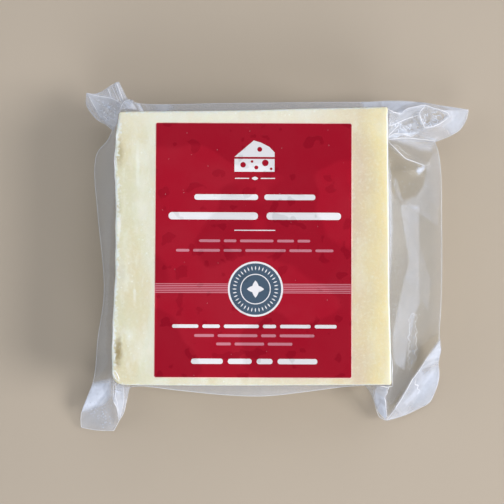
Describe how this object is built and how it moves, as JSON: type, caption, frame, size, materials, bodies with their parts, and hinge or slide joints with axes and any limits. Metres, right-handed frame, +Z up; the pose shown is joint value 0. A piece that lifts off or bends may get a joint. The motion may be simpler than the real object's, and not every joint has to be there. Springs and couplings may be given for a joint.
{
  "type": "vacuum-packed cheddar block",
  "caption": "Square block of pale cheddar in a clear vacuum pouch with free film all round, folded ears past its corners and a red rounded label on top.",
  "frame": {"origin": "centre of the block's flat underside", "axes": "+Z up, out of the label; +Y towards the label's top edge, which is the top of the picture; +X towards the wide flange, which is the right of the picture"},
  "size_m": [0.1245, 0.1107, 0.0309],
  "materials": {
    "cheddar": "waxy, satin, faintly translucent cream cheese under clear film",
    "film": "clear, glossy, wrinkled packing film",
    "label": "glossy printed label, deep red with white and slate print"
  },
  "bodies": {
    "root": {"sealed_pouch": "cheddar", "label": "label"}
  },
  "joints": []
}
